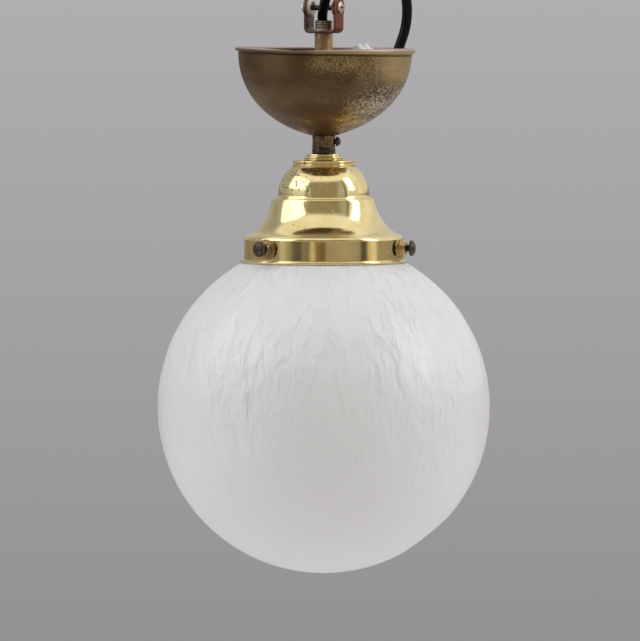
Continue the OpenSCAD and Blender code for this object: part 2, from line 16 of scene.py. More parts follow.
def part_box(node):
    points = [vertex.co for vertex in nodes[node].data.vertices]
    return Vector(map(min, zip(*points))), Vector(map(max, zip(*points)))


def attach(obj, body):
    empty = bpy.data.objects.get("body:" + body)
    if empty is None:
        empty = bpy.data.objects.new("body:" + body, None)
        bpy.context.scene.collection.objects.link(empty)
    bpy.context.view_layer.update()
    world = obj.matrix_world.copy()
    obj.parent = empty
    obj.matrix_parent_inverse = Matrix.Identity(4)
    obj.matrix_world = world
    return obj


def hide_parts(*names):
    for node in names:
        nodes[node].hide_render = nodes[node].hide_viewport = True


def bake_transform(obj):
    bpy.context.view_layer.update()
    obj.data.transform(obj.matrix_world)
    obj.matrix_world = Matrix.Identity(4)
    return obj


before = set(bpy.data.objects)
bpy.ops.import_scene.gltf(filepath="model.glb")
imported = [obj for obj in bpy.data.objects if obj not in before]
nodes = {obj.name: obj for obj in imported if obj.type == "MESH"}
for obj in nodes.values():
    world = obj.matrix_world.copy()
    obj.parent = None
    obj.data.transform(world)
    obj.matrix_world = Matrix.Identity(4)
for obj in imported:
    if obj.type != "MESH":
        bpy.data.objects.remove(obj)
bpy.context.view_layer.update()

MM = 0.001


# Shapes

FILLET_STEPS = 4
ROUTE_STEPS = 6
WELD = 1e-6               # points nearer to each other than this are made one
ROUNDED_FROM = 30         # degrees from which softened_piece rounds an edge


def lowest(node):
    """Height of a node's underside in millimetres."""
    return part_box(node)[0][2] / MM


def highest(node):
    """Height of a node's top in millimetres."""
    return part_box(node)[1][2] / MM


def wide(node):
    """Radius of a turned node in millimetres."""
    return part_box(node)[1][0] / MM


def ring_point(radius, angle, z):
    """A point at a radius and a height, turned about Z by an angle in radians."""
    return Vector((radius * math.cos(angle), radius * math.sin(angle), z))


def outwards(turn, z=0):
    """Placement with +Z pointing away from the lamp's axis, at degrees from +X and a height."""
    return (Matrix.Rotation(math.radians(turn), 4, "Z") @ Matrix.Translation((0, 0, z))
            @ Matrix.Rotation(math.radians(90), 4, "Y"))


def cubic(a, b, c, d, steps):
    """Points of a cubic curve from a to d, drawn towards b and c on its way."""
    a, b, c, d = Vector(a), Vector(b), Vector(c), Vector(d)
    points = []
    for i in range(steps + 1):
        t = i / steps
        s = 1 - t
        points.append(tuple(s**3 * a + 3 * s * s * t * b + 3 * s * t * t * c + t**3 * d))
    return points


def arc(centre, radius, start, end, steps):
    """Points of an arc from one angle in degrees to another."""
    angles = [math.radians(start + (end - start) * i / steps) for i in range(steps + 1)]
    return [(centre[0] + radius * math.cos(a), centre[1] + radius * math.sin(a)) for a in angles]


def filleted(points):
    """The closed outline with an arc at each corner that names a fillet."""
    out = []
    for i, point in enumerate(points):
        corner = Vector(point[:2])
        if len(point) < 3:
            out.append(tuple(corner))
            continue
        before = Vector(points[i - 1][:2]) - corner
        after = Vector(points[(i + 1) % len(points)][:2]) - corner
        reach = point[2] / math.tan(before.angle(after) / 2)
        reach = min(reach, before.length * 0.48, after.length * 0.48)
        a = corner + before.normalized() * reach
        b = corner + after.normalized() * reach
        for k in range(FILLET_STEPS + 1):
            t = k / FILLET_STEPS
            out.append(tuple((1 - t) ** 2 * a + 2 * t * (1 - t) * corner + t * t * b))
    return out


@contextlib.contextmanager
def editing(mesh):
    """The mesh as a bmesh, which is written back to it at the end."""
    bm = bmesh.new()
    bm.from_mesh(mesh)
    yield bm
    bm.to_mesh(mesh)
    bm.free()


def new_piece(name, vertices, faces, body, slot, *replaced, sharp=38):
    """A smooth mesh piece that rides on a body and stands for the named nodes."""
    mesh = bpy.data.meshes.new(name)
    mesh.from_pydata([tuple(v) for v in vertices], [], faces)
    mesh.validate()
    mesh.update()
    return dressed(name, mesh, body, slot, *replaced, sharp=sharp)


def dressed(name, mesh, body, slot, *replaced, sharp=38):
    """An object for the mesh, with its normals, material, body and nodes settled."""
    with editing(mesh) as bm:
        bmesh.ops.recalc_face_normals(bm, faces=bm.faces)
    mesh.shade_smooth()
    mesh.set_sharp_from_angle(angle=math.radians(sharp))
    piece = bpy.data.objects.new(name, mesh)
    bpy.context.collection.objects.link(piece)
    mesh.materials.clear()
    mesh.materials.append(finish_of(slot))
    if body:
        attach(piece, body)
    if replaced:
        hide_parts(*replaced)
    return piece


def bands(rings, around, closed=False):
    """Faces between neighbouring rings of points, and from the last to the first where closed."""
    faces = []
    for i in range(rings if closed else rings - 1):
        a, b = i * around, (i + 1) % rings * around
        for k in range(around):
            j = (k + 1) % around
            faces.append((a + k, a + j, b + j, b + k))
    return faces


def joined(shapes):
    """Vertices and faces of several shapes as those of one."""
    vertices, faces = [], []
    for more, sheets in shapes:
        start = len(vertices)
        vertices += more
        faces += [tuple(start + i for i in face) for face in sheets]
    return vertices, faces


def turned(outline, around, axis=None):
    """Vertices and faces of a closed outline in millimetres, turned about Z or another axis."""
    place = axis or Matrix()
    vertices = []
    for k in range(around):
        angle = 2 * math.pi * k / around
        vertices += [place @ ring_point(r, angle, z) * MM for r, z in outline]
    on_axis = [r == 0 for r, _ in outline]
    count = len(outline)
    faces = [face for face in bands(around, count, closed=True)
             if not (on_axis[face[0] % count] and on_axis[face[1] % count])]
    return vertices, faces


def turned_piece(name, outline, body, slot, *replaced, around, axis=None):
    """A turned piece from an outline with fillets."""
    vertices, faces = turned(filleted(outline), around, axis)
    return new_piece(name, vertices, faces, body, slot, *replaced)


def softened_piece(name, body, slot, node, edge):
    """A copy of a node with its edges rounded, which stands for the node."""
    mesh = nodes[node].data.copy()
    with editing(mesh) as bm:
        bmesh.ops.remove_doubles(bm, verts=bm.verts, dist=WELD)
        bmesh.ops.dissolve_limit(bm, angle_limit=math.radians(1), verts=bm.verts, edges=bm.edges)
        edges = [e for e in bm.edges
                 if len(e.link_faces) == 2 and e.calc_face_angle() > math.radians(ROUNDED_FROM)]
        bmesh.ops.bevel(bm, geom=edges, offset=edge * MM, segments=3, profile=0.5,
                        affect="EDGES", clamp_overlap=True)
    return dressed(name, mesh, body, slot, node)


def route_curve(route, before=None, after=None):
    """Points of a smooth curve through a route, drawn on to its neighbours where it has any."""
    points = [Vector(p) for p in route]
    first = Vector(before) if before else 2 * points[0] - points[1]
    last = Vector(after) if after else 2 * points[-1] - points[-2]
    drawn = [first, *points, last]
    out = []
    for a, b, c, d in zip(drawn, drawn[1:], drawn[2:], drawn[3:]):
        for k in range(ROUTE_STEPS):
            t = k / ROUTE_STEPS
            out.append(0.5 * (2 * b + (c - a) * t + (2 * a - 5 * b + 4 * c - d) * t * t
                              + (3 * b - a - 3 * c + d) * t**3))
    out.append(points[-1])
    return out


def tube(path, diameter, sides=24):
    """Vertices and faces of a closed round tube along a path."""
    vertices = []
    side = None
    for i, point in enumerate(path):
        ahead = path[min(i + 1, len(path) - 1)] - path[max(i - 1, 0)]
        ahead.normalize()
        side = ahead.orthogonal() if side is None else side - ahead * side.dot(ahead)
        side.normalize()
        other = ahead.cross(side)
        for k in range(sides):
            angle = 2 * math.pi * k / sides
            vertices.append(point + diameter / 2 * (math.cos(angle) * side
                                                    + math.sin(angle) * other))
    ends = [tuple(start + k for k in range(sides)) for start in (0, (len(path) - 1) * sides)]
    return vertices, bands(len(path), sides) + ends


# Finishes

# Where finishes change on the lamp. A pair is the two ends of a soft change.
BOLT_TURN = -25                       # degrees of the cross bolt from +X
BOLT_AXIS = Matrix.Rotation(math.radians(BOLT_TURN), 3, "Z") @ Vector((1, 0, 0))
# where the cross bolt's shank is painted with shade
BOLT_SHANK = (-0.0098, 0.01046)       # along the bolt, from its end to the foot of its recess
BOLT_SHANK_R = 0.0023
THREAD_FOOT = (-0.0127, -0.0125)      # the lower end of the stem's thread
COLLAR_TOP = (-0.06, -0.05)
BOSS_TOP = (-0.125, -0.12)
DOME_FOOT = (-0.114, -0.1)
FLARE_FOOT_Z = -0.1258
BOWL_WAIST_Z = -0.052                 # where the golden patch reaches furthest left
CUP_LEAN = (0.019, -0.009, 1)         # heights along this are level with the leaning cup's rim
# where a painted shadow line runs under the lip
LIP_SHADOW_Z = -0.0256
LIP_FOOT = (-0.0251, -0.0246)
# the painted highlight on the lip's top starts at LIP_TOP
LIP_TOP = (-0.0237, -0.0229)
GLOBE_Z = -0.2216                     # the globe's centre
GLOBE_SPAN = (-0.32, -0.13)           # from its foot to its neck


@functools.cache
def finish_of(slot):
    """The material of a slot, made once."""
    return FINISHES[slot](slot)


class Nodes:
    """Short ways to add nodes to a tree whose main node is given."""

    def __init__(self, tree, main):
        self.tree = tree
        self.main = tree.nodes[main]

    def set(self, socket, value):
        """Sets a constant or links an output on the main node."""
        self.put(self.main.inputs[socket], value)

    def put(self, socket, value):
        if isinstance(value, bpy.types.NodeSocket):
            self.tree.links.new(value, socket)
        else:
            socket.default_value = value

    def add(self, kind, output=0, settings=None, **inputs):
        """One output of a new node, whose inputs go by name, or by number as i0, i1 and so on."""
        node = self.tree.nodes.new(kind)
        for key, value in (settings or {}).items():
            setattr(node, key, value)
        for key, value in inputs.items():
            socket = int(key[1:]) if key[1:].isdigit() else key.replace("_", " ")
            self.put(node.inputs[socket], value)
        return node.outputs[output]

    def place(self):
        """Position on the object."""
        return self.add("ShaderNodeTexCoord", "Object")

    def math(self, operation, a, b=0.0):
        return self.add("ShaderNodeMath", settings={"operation": operation}, i0=a, i1=b)

    def plus(self, *values):
        return functools.reduce(lambda a, b: self.math("ADD", a, b), values)

    def minus(self, a, b):
        return self.math("SUBTRACT", a, b)

    def times(self, *values):
        return functools.reduce(lambda a, b: self.math("MULTIPLY", a, b), values)

    def off(self, value, middle):
        """How far a number is from another, either way."""
        return self.math("ABSOLUTE", self.minus(value, middle))

    def between(self, factor, low, high, start=0.0, end=1.0):
        """A number from low to high as the factor goes from start to end."""
        return self.add("ShaderNodeMapRange", Value=factor, From_Min=start, From_Max=end,
                        To_Min=low, To_Max=high)

    def rising(self, factor, start, end):
        return self.between(factor, 0.0, 1.0, start, end)

    def falling(self, factor, start, end):
        return self.between(factor, 1.0, 0.0, start, end)

    def vector_math(self, operation, a, b=(0, 0, 0), output=0):
        return self.add("ShaderNodeVectorMath", output, {"operation": operation}, i0=a, i1=b)

    def scaled(self, place, x, y, z):
        return self.vector_math("MULTIPLY", place, (x, y, z))

    def length(self, vector):
        return self.vector_math("LENGTH", vector, output=1)

    def along(self, vector, direction):
        return self.vector_math("DOT_PRODUCT", vector, direction, output=1)

    def split(self, vector, axis):
        return self.add("ShaderNodeSeparateXYZ", axis, Vector=vector)

    def noise(self, place, scale, detail=4.0, roughness=0.55, distortion=0.0):
        return self.add("ShaderNodeTexNoise", Vector=place, Scale=scale, Detail=detail,
                        Roughness=roughness, Distortion=distortion)

    def ramp(self, value, *stops):
        """A grey or coloured ramp through (position, value) stops."""
        out = self.add("ShaderNodeValToRGB", Fac=value)
        elements = out.node.color_ramp.elements
        while len(elements) < len(stops):
            elements.new(0.5)
        for element, (position, colour) in zip(elements, stops):
            element.position = position
            element.color = (*(colour if isinstance(colour, tuple) else (colour,) * 3), 1)
        return out

    def mix(self, factor, a, b):
        """Mix of two colours, each an output or a plain colour."""
        a, b = ((*c, 1) if isinstance(c, tuple) else c for c in (a, b))
        return self.add("ShaderNodeMix", 2, {"data_type": "RGBA"}, i0=factor, i6=a, i7=b)

    def mix_numbers(self, factor, a, b):
        return self.add("ShaderNodeMix", i0=factor, i2=a, i3=b)

    def bump(self, height, strength, distance, under=None):
        inputs = {"Normal": under} if under else {}
        return self.add("ShaderNodeBump", Height=height, Strength=strength, Distance=distance,
                        **inputs)

    def around(self, place, radius, stretch):
        """Place on a cylinder of the radius, with its height scaled, for upright streaks."""
        ring = self.vector_math("NORMALIZE", self.scaled(place, 1, 1, 0))
        return self.vector_math("ADD", self.scaled(ring, radius, radius, radius),
                                self.scaled(place, 0, 0, stretch))

    def turned_lines(self, place, scale):
        """Fine lines that a lathe leaves: the same all the way round the axis."""
        section = self.add("ShaderNodeCombineXYZ", X=self.length(self.scaled(place, 1, 1, 0)),
                           Z=self.split(place, 2))
        return self.noise(section, scale, 2)


class Shader(Nodes):
    """A new material with constant values on its main shader."""

    def __init__(self, name, **values):
        self.material = bpy.data.materials.new(name)
        self.material.use_nodes = True
        super().__init__(self.material.node_tree, "Principled BSDF")
        for socket, value in values.items():
            self.set(socket.replace("_", " "), value)


def polished_brass(slot):
    """Stained brass with smears, pits on the dome's left, and dust at the flare's foot."""
    s = Shader(slot)
    place = s.place()
    across, up = s.split(place, 0), s.split(place, 2)
    worn = s.times(s.falling(across, -0.012, 0.004), s.rising(up, *DOME_FOOT))
    spots = s.minus(s.noise(place, 640, 2, 0.5), s.times(worn, 0.085))
    patches = s.ramp(s.noise(place, 55, 2), (0.44, 0.0), (0.58, 1.0))
    pits = s.times(s.ramp(spots, (0.30, 1.0), (0.33, 0.0)), s.math("MAXIMUM", patches, worn))
    stain = s.ramp(s.noise(place, 70, 5, 0.62), (0.42, 0.0), (0.72, 1.0))
    colour = s.mix(stain, (0.86, 0.72, 0.37), (0.75, 0.59, 0.27))
    s.set("Base Color", s.mix(pits, colour, (0.22, 0.15, 0.08)))
    dusty = s.between(s.off(up, FLARE_FOOT_Z), 0.34, 0.0, 0.0008, 0.0022)
    s.set("Metallic", s.minus(1.0, dusty))
    smear = s.noise(s.around(place, 0.044, 0.25), 160, 5, 0.6)
    s.set("Roughness", s.between(smear, 0.07, 0.17))
    lines = s.bump(s.turned_lines(place, 1400), 0.06, 0.0001)
    waves = s.bump(s.noise(place, 45, 2), 0.14, 0.0012, lines)
    s.set("Normal", s.bump(s.minus(0.0, pits), 0.5, 0.0002, waves))
    return s.material


def mottled_brass(slot):
    """Brown patina with fine golden grains in patches, and a smooth golden patch on the right. The
    lip's top has a painted highlight, and a painted shadow runs under the lip.
    """
    s = Shader(slot, Metallic=0.8)
    place = s.place()
    across, up = s.split(place, 0), s.split(place, 2)
    level = s.along(place, CUP_LEAN)
    stretched = s.scaled(place, 1, 1, 1.6)
    cloud = s.noise(stretched, 42, 4)

    # Where the grains lie close
    upper = s.times(s.rising(up, -0.041, -0.033), s.rising(across, -0.018, -0.004))
    lower = s.minus(across, s.times(s.off(up, BOWL_WAIST_Z), 1.3))
    lower = s.rising(lower, -0.004, 0.026)
    smooth = s.times(s.rising(up, -0.045, -0.038), s.rising(across, 0.024, 0.038))
    flecks = s.noise(s.scaled(place, 1, 1, 3), 170, 3)
    foot = s.times(s.falling(up, -0.064, -0.050), s.rising(across, -0.022, -0.013),
                   s.rising(s.math("ABSOLUTE", across), 0.002, 0.009),
                   s.between(flecks, 0.45, 1.0, 0.4, 0.6))
    reach = s.plus(s.times(upper, 0.14), s.times(lower, 0.115),
                   s.between(across, -0.08, 0.0, -0.02, 0.0), s.times(foot, 0.185),
                   s.between(across, 0.0, 0.025, -0.016, -0.006), s.times(smooth, -0.1),
                   s.times(cloud, 0.24))
    grain = s.mix_numbers(lower, s.noise(place, 1700, 3, 0.65), s.noise(stretched, 800, 4, 0.7))
    fresh = s.ramp(s.plus(grain, reach), (0.75, 0.0), (0.86, 1.0))
    lip = s.rising(level, *LIP_FOOT)
    fresh = s.times(fresh, s.between(lip, 1.0, 0.25))

    brown = s.mix(s.noise(place, 75, 5), (0.074, 0.035, 0.016), (0.138, 0.077, 0.035))
    brown = s.mix(s.ramp(cloud, (0.42, 0.0), (0.62, 1.0)), brown, (0.155, 0.096, 0.045))
    brown = s.mix(smooth, brown, (0.40, 0.29, 0.13))
    worn = s.mix(s.rising(across, -0.012, 0.02), (0.14, 0.088, 0.052), (0.46, 0.33, 0.17))
    # Painted highlight: the top of the lip is painted pale.
    rim = s.mix(s.rising(level, *LIP_TOP), worn, (0.44, 0.35, 0.32))
    brown = s.mix(lip, brown, rim)
    gold = s.mix(foot, (0.44, 0.32, 0.135), (0.62, 0.37, 0.10))
    gold = s.mix(s.times(lower, s.rising(across, 0.004, 0.03)), gold, (0.66, 0.58, 0.42))
    # Painted shadow: a dark line under the rolled lip.
    shadow_under_lip = s.falling(s.off(level, LIP_SHADOW_Z), 0.0003, 0.0008)
    s.set("Base Color", s.mix(s.times(shadow_under_lip, 0.75), s.mix(fresh, brown, gold),
                              (0.035, 0.022, 0.014)))
    s.set("Roughness", s.between(fresh, 0.48, 0.28))
    grain = s.times(grain, s.between(lip, 1.0, 0.0))
    s.set("Normal", s.bump(grain, 0.35, 0.0003, s.bump(cloud, 0.2, 0.001)))
    return s.material


def aged_brass(slot):
    """Brown patina with upright golden marks, made more golden on the right half of each part by a
    painted reflection. The stem's thread has painted highlights on its crests and painted shade in
    its grooves.
    """
    s = Shader(slot, Metallic=0.85)
    place = s.place()
    up = s.split(place, 2)
    patina = s.noise(s.around(place, 0.006, 0.5), 300, 7, 0.7, 0.3)
    # Painted reflection: the right half of each part is made more golden, standing in for the
    # right softbox's reflection, over the real golden marks.
    right = s.between(s.split(place, 0), -0.06, 0.09, -0.005, 0.005)
    fresh = s.ramp(s.plus(patina, right), (0.47, 0.0), (0.66, 1.0))
    colour = s.mix(fresh, (0.34, 0.235, 0.145), (0.96, 0.62, 0.27))
    low = s.falling(up, *COLLAR_TOP)
    colour = s.mix(low, colour, s.mix(fresh, (0.12, 0.075, 0.04), (0.42, 0.29, 0.13)))
    boss = s.falling(up, *BOSS_TOP)
    colour = s.mix(boss, colour, s.mix(fresh, (0.34, 0.23, 0.10), (0.58, 0.42, 0.19)))
    # Painted highlight on the thread's crests and painted shade in its grooves.
    crest = s.rising(s.length(s.scaled(place, 1, 1, 0)), 0.00452, 0.0049)
    thread = s.mix(crest, (0.03, 0.022, 0.016), (0.62, 0.52, 0.42))
    s.set("Base Color", s.mix(s.rising(up, *THREAD_FOOT), colour, thread))
    dull = s.minus(s.between(fresh, 0.52, 0.34), s.times(low, 0.12))
    s.set("Roughness", s.minus(dull, s.times(boss, 0.1)))
    lines = s.bump(s.turned_lines(place, 1800), 0.15, 0.0001)
    s.set("Normal", s.bump(patina, 0.2, 0.0003, lines))
    return s.material


def contact_brass(slot):
    s = Shader(slot, Metallic=1.0)
    tarnish = s.noise(s.place(), 180, 4)
    s.set("Base Color", s.mix(tarnish, (0.80, 0.66, 0.38), (0.58, 0.44, 0.24)))
    s.set("Roughness", s.between(tarnish, 0.22, 0.4))
    return s.material


def coppered_steel(slot):
    """Painted light and shade: reddish and lighter on the right as if lit, greyer and darker on
    the left as if in shade, with small worn spots.
    """
    s = Shader(slot, Metallic=0.75)
    place = s.place()
    wear = s.ramp(s.noise(place, 480, 6, 0.7), (0.54, 0.0), (0.7, 1.0))
    # Painted light and shade: the right ear is painted as lit, the left ear as in shade.
    right = s.rising(s.split(place, 0), -0.004, 0.004)
    shade = s.mix(right, (0.125, 0.086, 0.078), (0.32, 0.085, 0.058))
    tone = s.mix(s.times(s.noise(place, 110, 4), 0.6), shade, (0.13, 0.06, 0.045))
    s.set("Base Color", s.mix(s.times(wear, 0.5), tone, (0.34, 0.24, 0.20)))
    s.set("Roughness", s.between(wear, 0.46, 0.32))
    s.set("Normal", s.bump(s.noise(place, 900, 4), 0.15, 0.0002))
    return s.material


def nickel(slot):
    """Pale plating, with painted shade on the shank of the cross bolt and deep in its recess."""
    s = Shader(slot, Metallic=0.9)
    place = s.place()
    along = s.along(place, tuple(BOLT_AXIS))
    off = s.length(s.vector_math("CROSS_PRODUCT", place, tuple(BOLT_AXIS)))
    # Painted shade: the shank, lying in shade between the ears, is painted dark.
    painted_shank_shade = s.times(s.math("LESS_THAN", off, BOLT_SHANK_R),
                     s.math("LESS_THAN", along, BOLT_SHANK[1]),
                     s.math("GREATER_THAN", along, BOLT_SHANK[0]))
    dull = s.noise(place, 700, 4)
    plate = s.mix(dull, (0.88, 0.78, 0.70), (0.66, 0.55, 0.48))
    s.set("Base Color", s.mix(painted_shank_shade, plate, (0.075, 0.038, 0.032)))
    s.set("Roughness", s.between(dull, 0.24, 0.46))
    return s.material


def porcelain(slot):
    s = Shader(slot, Roughness=0.25)
    place = s.place()
    s.set("Base Color", s.mix(s.noise(place, 420, 4), (0.84, 0.74, 0.64), (0.66, 0.56, 0.46)))
    s.set("Normal", s.bump(s.noise(place, 800, 2), 0.1, 0.0002))
    return s.material


def darkened(slot, low, high, worn):
    """A blackened or browned metal, a little worn."""
    s = Shader(slot, Metallic=0.75)
    place = s.place()
    rub = s.ramp(s.noise(place, 800, 5, 0.7), (0.52, 0.0), (0.72, 1.0))
    tone = s.mix(s.noise(place, 240, 3), low, high)
    s.set("Base Color", s.mix(rub, tone, worn))
    s.set("Roughness", s.between(s.noise(place, 400, 4), 0.24, 0.45))
    s.set("Normal", s.bump(s.noise(place, 1200, 3), 0.12, 0.0002))
    return s.material


def dark_steel(slot):
    return darkened(slot, (0.03, 0.026, 0.024), (0.085, 0.07, 0.06), (0.19, 0.16, 0.135))


def dark_bronze(slot):
    return darkened(slot, (0.044, 0.029, 0.024), (0.095, 0.064, 0.053), (0.26, 0.20, 0.17))


def frosted_glass(slot):
    """Frosted glass with a soft relief of wavy folds that run down from its neck."""
    s = Shader(slot, Coat_Weight=0.5, Coat_Roughness=0.22, Subsurface_Weight=0.3,
               Subsurface_Radius=(0.006, 0.006, 0.006), Subsurface_Scale=1.0)
    place = s.place()
    climb = s.rising(s.split(place, 2), *GLOBE_SPAN)
    away = s.vector_math("NORMALIZE", s.vector_math("SUBTRACT", place, (0, 0, GLOBE_Z)))
    ring = s.vector_math("NORMALIZE", s.scaled(away, 1, 1, 0))
    down = s.times(s.math("ARCCOSINE", s.split(away, 2)), 0.036)
    hanging = s.vector_math("ADD", s.scaled(ring, 0.08, 0.08, 0.08),
                            s.add("ShaderNodeCombineXYZ", Z=down))
    folds = s.off(s.noise(hanging, 100, 2, 0.5, 0.4), 0.5)
    ripple = s.noise(hanging, 170, 2, 0.5, 0.5)
    broad = s.noise(place, 34, 2, 0.5)
    strength = s.times(s.ramp(climb, (0.15, 0.0), (0.65, 1.0)),
                       s.between(broad, 0.6, 1.3, 0.35, 0.65))
    relief = s.times(s.plus(s.times(folds, -1.6), s.times(ripple, 1.1)), strength)
    cells = s.add("ShaderNodeTexVoronoi", Vector=place, Scale=75)
    speck = s.ramp(cells, (0.012, 1.0), (0.02, 0.0))
    # Painted light: the glass is paler and bluer towards the top, as under cool light from above,
    # and warmer towards the foot.
    colour = s.mix(climb, (0.855, 0.845, 0.845), (0.865, 0.875, 0.91))
    s.set("Base Color", s.mix(s.times(speck, 0.6), colour, (0.95, 0.95, 0.95)))
    s.set("Roughness", s.between(broad, 0.34, 0.48))
    s.set("Normal", s.bump(relief, 0.7, 0.003))
    return s.material


def bakelite(slot):
    s = Shader(slot)
    place = s.place()
    swirl = s.noise(place, 150, 4, 0.6, 1.0)
    s.set("Base Color", s.mix(swirl, (0.13, 0.07, 0.05), (0.22, 0.13, 0.09)))
    s.set("Roughness", s.between(s.noise(place, 500, 3), 0.16, 0.3))
    return s.material


def sheathed(slot, low, high, roughness, **values):
    """A moulded covering, with faint marks."""
    s = Shader(slot, **values)
    place = s.place()
    s.set("Base Color", s.mix(s.noise(place, 350, 4), low, high))
    s.set("Roughness", s.between(s.noise(place, 600, 4), roughness * 0.7, roughness * 1.5))
    s.set("Normal", s.bump(s.noise(place, 500, 3), 0.12, 0.0003))
    return s.material


def flex_sheath(slot):
    return sheathed(slot, (0.003, 0.003, 0.0035), (0.008, 0.008, 0.009), 0.13,
                    Specular_IOR_Level=0.16)


def core_brown(slot):
    return sheathed(slot, (0.16, 0.06, 0.03), (0.22, 0.09, 0.05), 0.3)


def core_blue(slot):
    return sheathed(slot, (0.03, 0.10, 0.30), (0.05, 0.14, 0.36), 0.3)


def white_plastic(slot):
    return sheathed(slot, (0.80, 0.80, 0.78), (0.88, 0.88, 0.86), 0.4)


FINISHES = {maker.__name__: maker for maker in (
    coppered_steel, nickel, porcelain, aged_brass, mottled_brass, polished_brass, contact_brass,
    dark_steel, dark_bronze, frosted_glass, bakelite, flex_sheath, core_brown, core_blue,
    white_plastic,
)}


# Camera

PIXEL = 0.0005556         # size of a pixel of the photograph at the lamp
WIDTH_PX = 640
DISTANCE = 4.0            # from the camera to AIM, in metres
ELEVATION = math.radians(2.4)
AIM = Vector((-0.00206, 0, -0.1736))


def face(thing, place):
    """Puts a camera or a light at a place, so that it looks at the lamp."""
    thing.location = place
    thing.rotation_euler = (AIM - thing.location).to_track_quat("-Z", "Y").to_euler()
    bpy.context.collection.objects.link(thing)


def make_camera():
    data = bpy.data.cameras.new("camera")
    data.sensor_fit = "HORIZONTAL"
    data.sensor_width = 36
    data.lens = data.sensor_width * DISTANCE / (WIDTH_PX * PIXEL)
    data.clip_end = 50
    camera = bpy.data.objects.new("camera", data)
    face(camera, AIM + DISTANCE * Vector((0, -math.cos(ELEVATION), math.sin(ELEVATION))))
    bpy.context.scene.camera = camera


# Cords

FLEX = 0.0056
CORE = 0.0022
loop_route = [
    (-0.0001, 0.0013, -0.02), (-0.0001, 0.0013, -0.016), (-0.0003, 0.0011, -0.013),
    (-0.0005, 0.0003, -0.0097), (-0.0007, -0.0008, -0.007), (-0.0007, -0.0023, -0.0047),
    (-0.0005, -0.0042, -0.0026), (-0.0002, -0.0063, -0.0006), (0.0003, -0.0085, 0.0016),
    (0.001, -0.0107, 0.0047), (0.0022, -0.0123, 0.0084), (0.0042, -0.0132, 0.0128),
    (0.0074, -0.0133, 0.0178), (0.0116, -0.0126, 0.0224), (0.017, -0.0112, 0.0258),
    (0.0232, -0.0092, 0.0276), (0.0294, -0.007, 0.0272), (0.0352, -0.0048, 0.0242),
    (0.04, -0.0028, 0.0194), (0.0434, -0.0014, 0.0134), (0.0454, -0.0006, 0.007),
    (0.0462, 0, 0.0004), (0.046, 0.0002, -0.0062), (0.0449, 0, -0.0126),
    (0.0429, -0.0006, -0.0188), (0.0407, -0.0022, -0.0248), (0.0387, -0.005, -0.0306),
]
coil_route = [
    (0.0387, -0.005, -0.0306), (0.0368, -0.0092, -0.0362), (0.034, -0.0144, -0.0414),
    (0.0296, -0.0198, -0.0456), (0.0234, -0.0246, -0.049), (0.0154, -0.0282, -0.0513),
    (0.0062, -0.0302, -0.0526), (-0.0034, -0.0304, -0.0529), (-0.0128, -0.0282, -0.0526),
    (-0.021, -0.0234, -0.0522), (-0.027, -0.0164, -0.052), (-0.0306, -0.008, -0.052),
    (-0.0316, 0.0012, -0.052), (-0.0296, 0.0104, -0.0522), (-0.0248, 0.0188, -0.0524),
    (-0.0176, 0.0254, -0.052), (-0.009, 0.029, -0.0503), (-0.001, 0.0298, -0.0472),
    (0.006, 0.0284, -0.0428), (0.0118, 0.0252, -0.0378),
]


def make_cords():
    path = route_curve(loop_route, after=coil_route[1])
    loop = new_piece("flex_arch", *tube(path, FLEX), None, "flex_sheath", "flex_loop")
    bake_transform(loop)

    path = route_curve(coil_route, before=loop_route[-2])
    coil = new_piece("flex_turn", *tube(path, FLEX), "collar", "flex_sheath", "flex_coil")
    cores = make_end_cores(path[-1], (path[-1] - Vector(coil_route[-2])).normalized())
    block = softened_piece("block_body", "collar", "white_plastic", "terminal_block", 0.7)
    screws = softened_piece("clamp_screws", "collar", "nickel", "block_screws", 0.12)


def make_end_cores(end, ahead):
    """The two cores, blue and brown, between the flex's cut end and the terminal block."""
    across = Vector((0, 0, 1)).cross(ahead).normalized()
    near, far, gap = 1.3 * MM, 4 * MM, 7 * MM
    cores = []
    for side in (-1, 1):
        route = [end + side * near * across - 1 * MM * ahead,
                 end + side * near * across + 1.5 * MM * ahead,
                 end + side * far * across + (gap - 1.5 * MM) * ahead,
                 end + side * far * across + (gap + 4 * MM) * ahead]
        cores.append(tube(route_curve(route), CORE, 16))
    blue = len(cores[0][1])
    piece = new_piece("end_cores", *joined(cores), "collar", "core_brown", "flex_end_cores")
    piece.data.materials.append(finish_of("core_blue"))
    for polygon in piece.data.polygons:
        polygon.material_index = 1 if polygon.index < blue else 0
    return piece


# Stirrup and stem

EARS_APART = 19.6
EAR_SHEET = 1.6
STEM_BORE_R = 4.2
THREAD_LENGTH = 5.6
THREAD_PITCH = 1.0
THREAD_DEPTH = 0.5
THREAD_RUNOUT = 0.8       # the height over which the thread fades in from below
THREAD_ROWS = 72


def make_stirrup():
    softened_piece("strap", "frame", "coppered_steel", "stirrup", 0.35)
    softened_piece("bolt", "frame", "nickel", "cross_bolt", 0.18)
    softened_piece("bolt_nut", "frame", "nickel", "cross_bolt_nut", 0.25)
    make_bushes()


def make_bushes():
    """Two flanged bushes with dished faces that line the ears."""
    outer = EARS_APART / 2
    inner = outer - EAR_SHEET
    outline = filleted([(1.53, inner - 0.3), (2.7, inner - 0.4, 0.2), (3, inner - 1.2, 0.4),
                        (3.5, inner - 1.8, 0.6), (4.5, inner - 1.7, 0.7), (5, inner - 0.8, 0.5),
                        (5, inner), (2.4, inner), (2.4, outer), (1.53, outer)])
    bushes = [turned(outline, 64, outwards(turn)) for turn in (BOLT_TURN, BOLT_TURN + 180)]
    new_piece("bushes", *joined(bushes), "frame", "porcelain", "ear_bushes")


